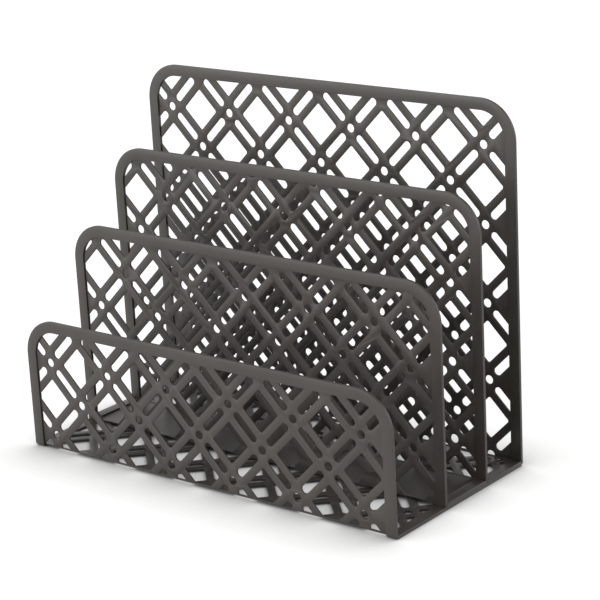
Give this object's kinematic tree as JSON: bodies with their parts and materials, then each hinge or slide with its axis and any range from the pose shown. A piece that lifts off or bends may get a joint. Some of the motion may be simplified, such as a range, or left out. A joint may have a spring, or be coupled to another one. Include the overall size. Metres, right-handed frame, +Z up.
{
  "type": "envelope sorter",
  "caption": "Stepped desk sorter of pierced sheet steel: upright rounded walls, low in front and tall behind, with open slots for envelopes between them.",
  "frame": {"origin": "on the floor, under the middle of the object", "axes": "+X along the walls to the right seen from the front, +Y from the lowest wall to the tallest, +Z up"},
  "size_m": [0.165, 0.0764, 0.1306],
  "materials": {
    "painted_sheet": "satin dark bronze grey paint",
    "painted_band": "satin dark bronze grey paint"
  },
  "bodies": {
    "root": {"front_wall_sheet": "painted_sheet", "base_floor_sheet": "painted_sheet", "rear_wall_sheet": "painted_sheet", "second_wall_sheet": "painted_sheet", "middle_floor_sheet": "painted_sheet", "third_wall_sheet": "painted_sheet", "front_rim_band": "painted_band", "second_rim_band": "painted_band", "third_rim_band": "painted_band", "rear_rim_band": "painted_band", "base_runner_left": "painted_band", "base_runner_right": "painted_band", "middle_side_band_left": "painted_band", "middle_side_band_right": "painted_band", "rear_side_band_left": "painted_band", "rear_side_band_right": "painted_band"}
  },
  "joints": []
}
